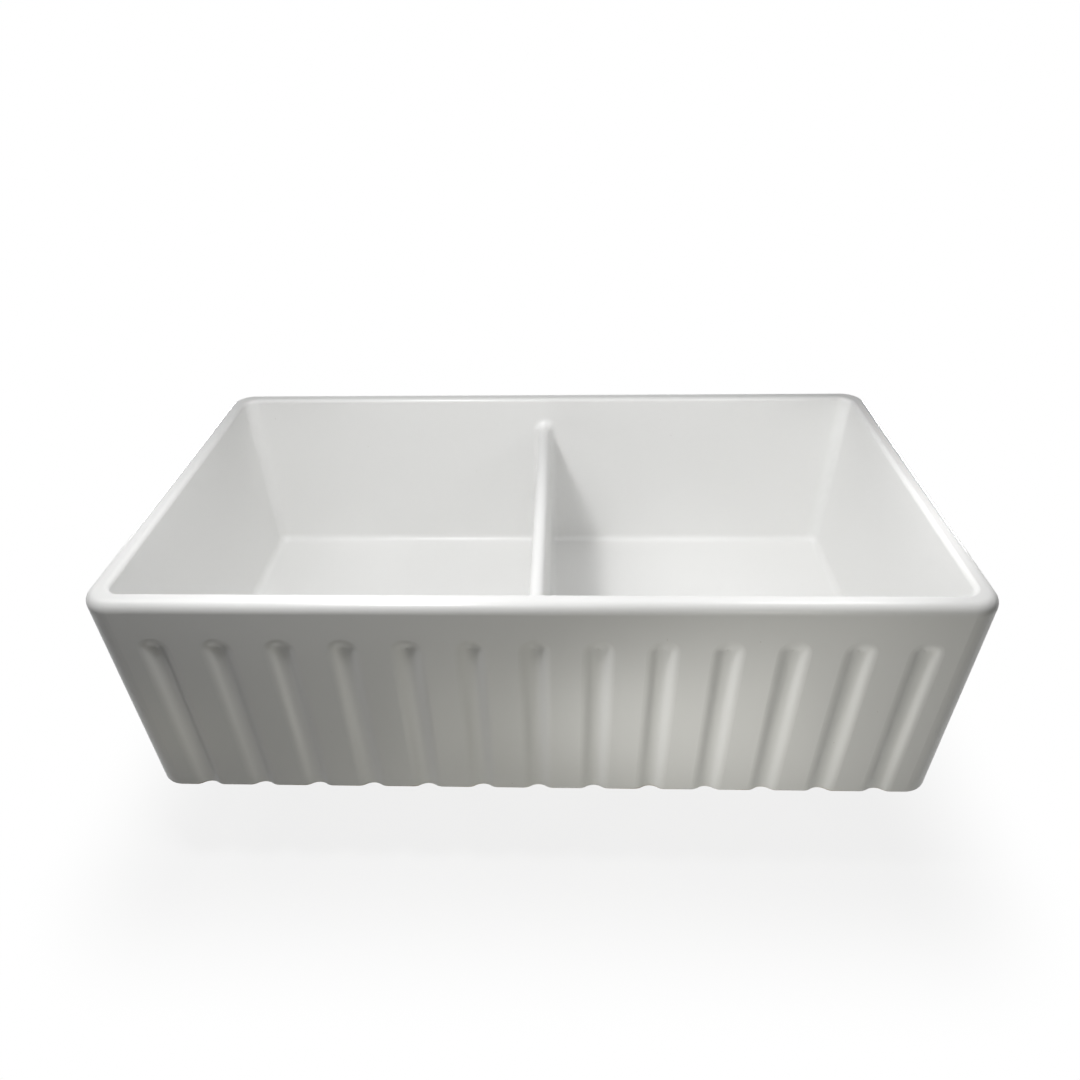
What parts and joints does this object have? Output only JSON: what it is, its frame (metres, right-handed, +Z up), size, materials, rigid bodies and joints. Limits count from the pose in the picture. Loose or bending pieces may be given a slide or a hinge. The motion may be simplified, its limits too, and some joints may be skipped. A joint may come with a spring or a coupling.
{
  "type": "farmhouse apron front sink",
  "caption": "Fireclay apron front kitchen sink: deep bowls either side of a low divider, a fluted front, and a lift-out basket strainer with its waste tube below each bowl.",
  "frame": {"origin": "centre of the basin's flat underside", "axes": "+X along the front to the right as seen from the front, +Y from the apron to the back, +Z up"},
  "size_m": [0.8382, 0.4572, 0.4044],
  "materials": {
    "fireclay": "white gloss glaze, bare fired clay on the underside",
    "stainless": "satin stainless, brushed round its axis",
    "polished_steel": "polished stainless",
    "black_rubber": "moulded matte",
    "stopper_rubber": "moulded satin",
    "foam_seal": "cut foam rubber",
    "fibre": "pressed fibre",
    "cast_brass": "rough cast, unplated",
    "chromed_brass": "bright chrome plate",
    "washer_poly": "translucent white plastic"
  },
  "bodies": {
    "sink": {"basin": "fireclay", "left_flange_seal": "foam_seal", "left_strainer_body": "stainless", "left_sink_gasket": "black_rubber", "left_friction_washer": "fibre", "left_locknut": "cast_brass", "left_tailpiece_washer": "washer_poly", "left_tailpiece": "chromed_brass", "left_coupling_nut": "chromed_brass", "right_flange_seal": "foam_seal", "right_strainer_body": "stainless", "right_sink_gasket": "black_rubber", "right_friction_washer": "fibre", "right_locknut": "cast_brass", "right_tailpiece_washer": "washer_poly", "right_tailpiece": "chromed_brass", "right_coupling_nut": "chromed_brass"},
    "left_post": {"left_basket_post": "polished_steel", "left_basket_stopper": "stopper_rubber", "left_stopper_nut": "polished_steel", "left_spring_clip": "polished_steel"},
    "left_cup": {"left_basket": "stainless"},
    "right_post": {"right_basket_post": "polished_steel", "right_basket_stopper": "stopper_rubber", "right_stopper_nut": "polished_steel", "right_spring_clip": "polished_steel"},
    "right_cup": {"right_basket": "stainless"}
  },
  "joints": [
    {"name": "left_basket_lift", "type": "slide", "parent": "sink", "child": "left_post", "axis": [0, 0, 1], "range_m": [0, 0.3]},
    {"name": "left_basket_turn", "type": "hinge", "parent": "left_post", "child": "left_cup", "pos_m": [-0.20342, 0, 0], "axis": [0, 0, 1], "continuous": true},
    {"name": "right_basket_lift", "type": "slide", "parent": "sink", "child": "right_post", "axis": [0, 0, 1], "range_m": [0, 0.3]},
    {"name": "right_basket_turn", "type": "hinge", "parent": "right_post", "child": "right_cup", "pos_m": [0.20342, 0, 0], "axis": [0, 0, 1], "continuous": true}
  ]
}
